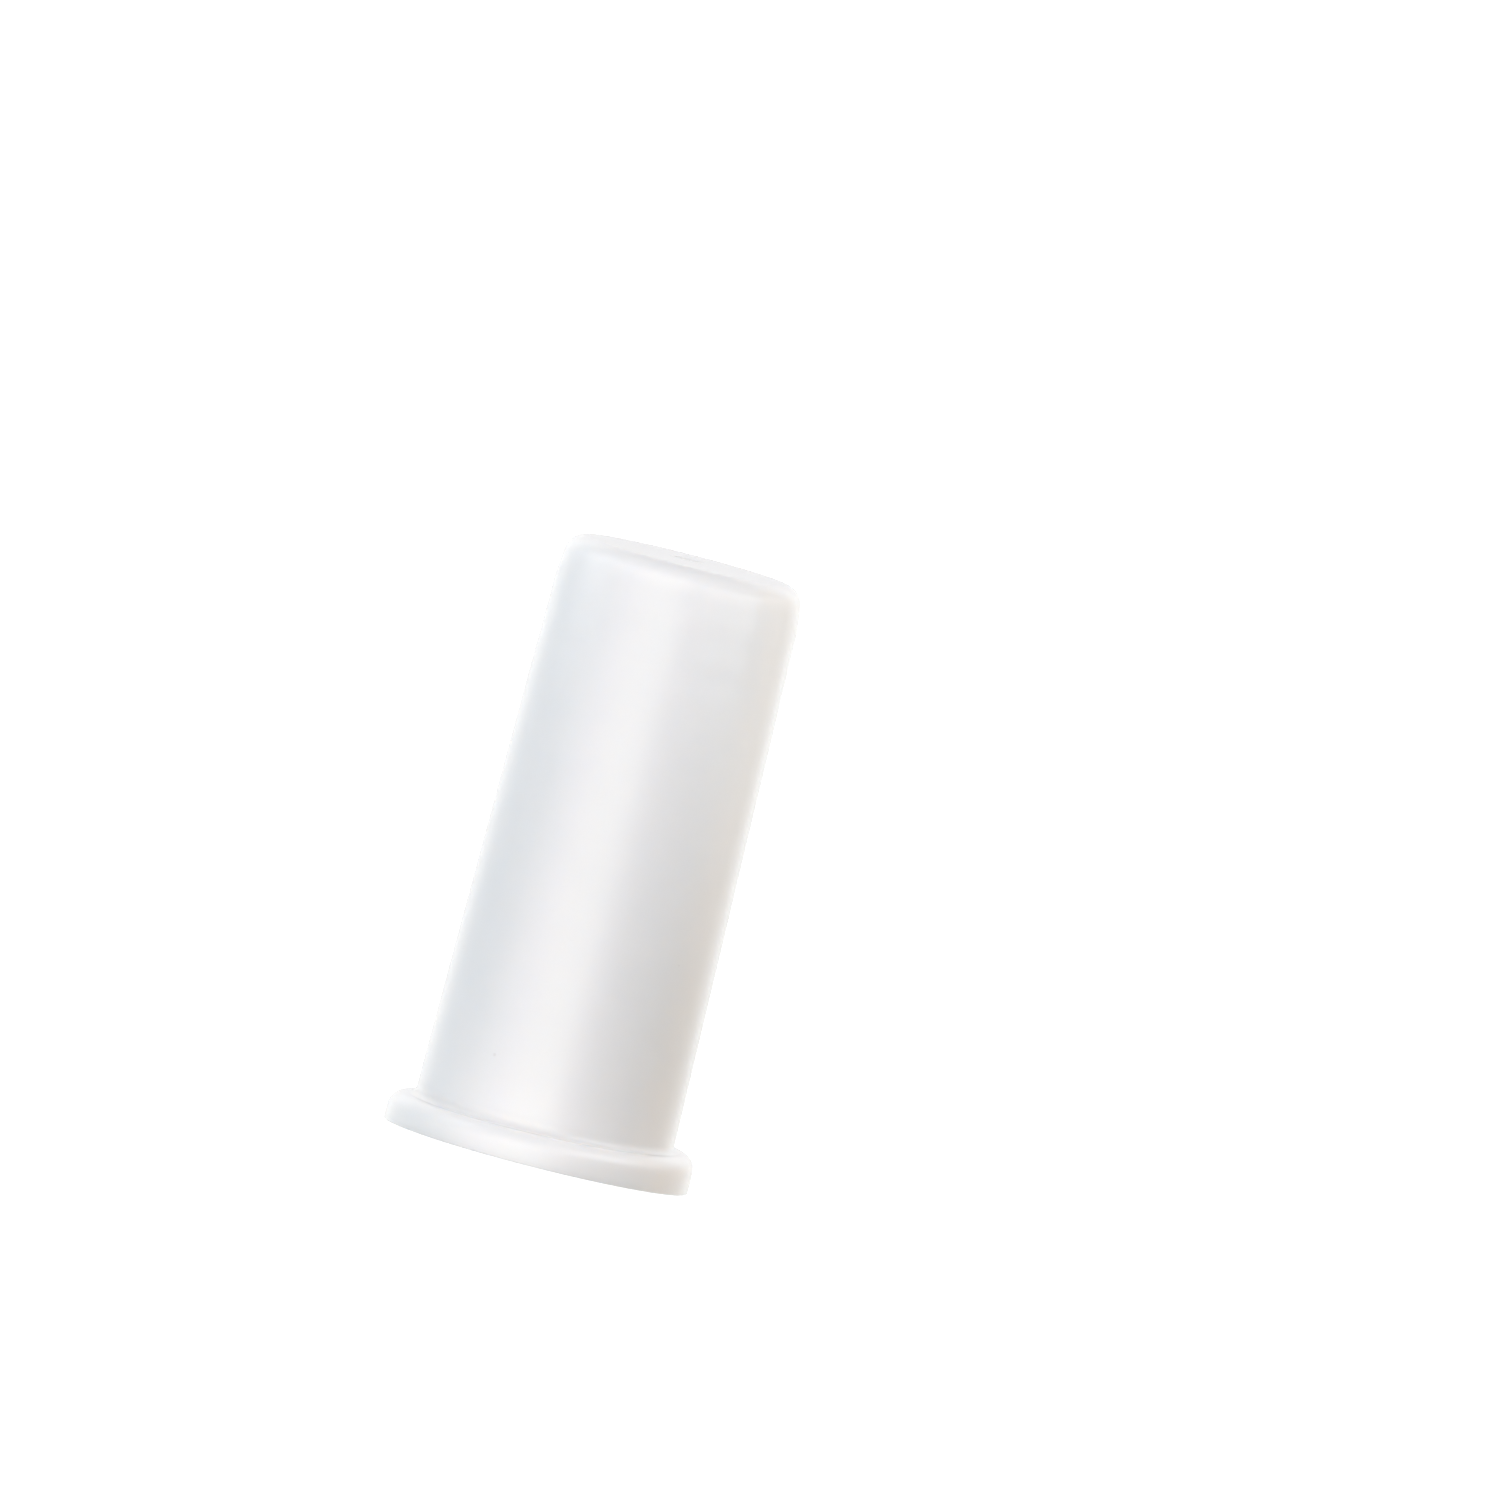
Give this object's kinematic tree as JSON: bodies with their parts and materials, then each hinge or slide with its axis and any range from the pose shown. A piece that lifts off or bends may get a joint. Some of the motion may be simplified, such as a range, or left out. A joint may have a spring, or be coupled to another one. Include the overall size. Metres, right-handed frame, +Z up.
{
  "type": "silicone cupping cup",
  "caption": "Translucent silicone cup for massage: closed tapered tube with a thick round flange at its open mouth and an elastic wall that is squeezed for suction.",
  "frame": {"origin": "centre of the mouth, on the plane that the flange rests on", "axes": "+Z up the cup's axis towards its closed end; the cup is squeezed along Y, with the front wall at -Y"},
  "size_m": [0.0305, 0.0304, 0.06],
  "materials": {
    "silicone": "translucent frosted silicone"
  },
  "bodies": {
    "root": {"cup_moulding": "silicone"},
    "front_wall": {"squeeze_wall_front": "silicone"},
    "back_wall": {"squeeze_wall_back": "silicone"}
  },
  "joints": [
    {"name": "front_squeeze", "type": "slide", "parent": "root", "child": "front_wall", "axis": [0, 1, 0], "range_m": [0, 0.005], "stiffness_N_per_m": 400},
    {"name": "back_squeeze", "type": "slide", "parent": "root", "child": "back_wall", "axis": [0, -1, 0], "range_m": [0, 0.005], "stiffness_N_per_m": 400}
  ],
  "couplings": [
    {"joint": "back_squeeze", "follows": "front_squeeze", "ratio": 1}
  ]
}
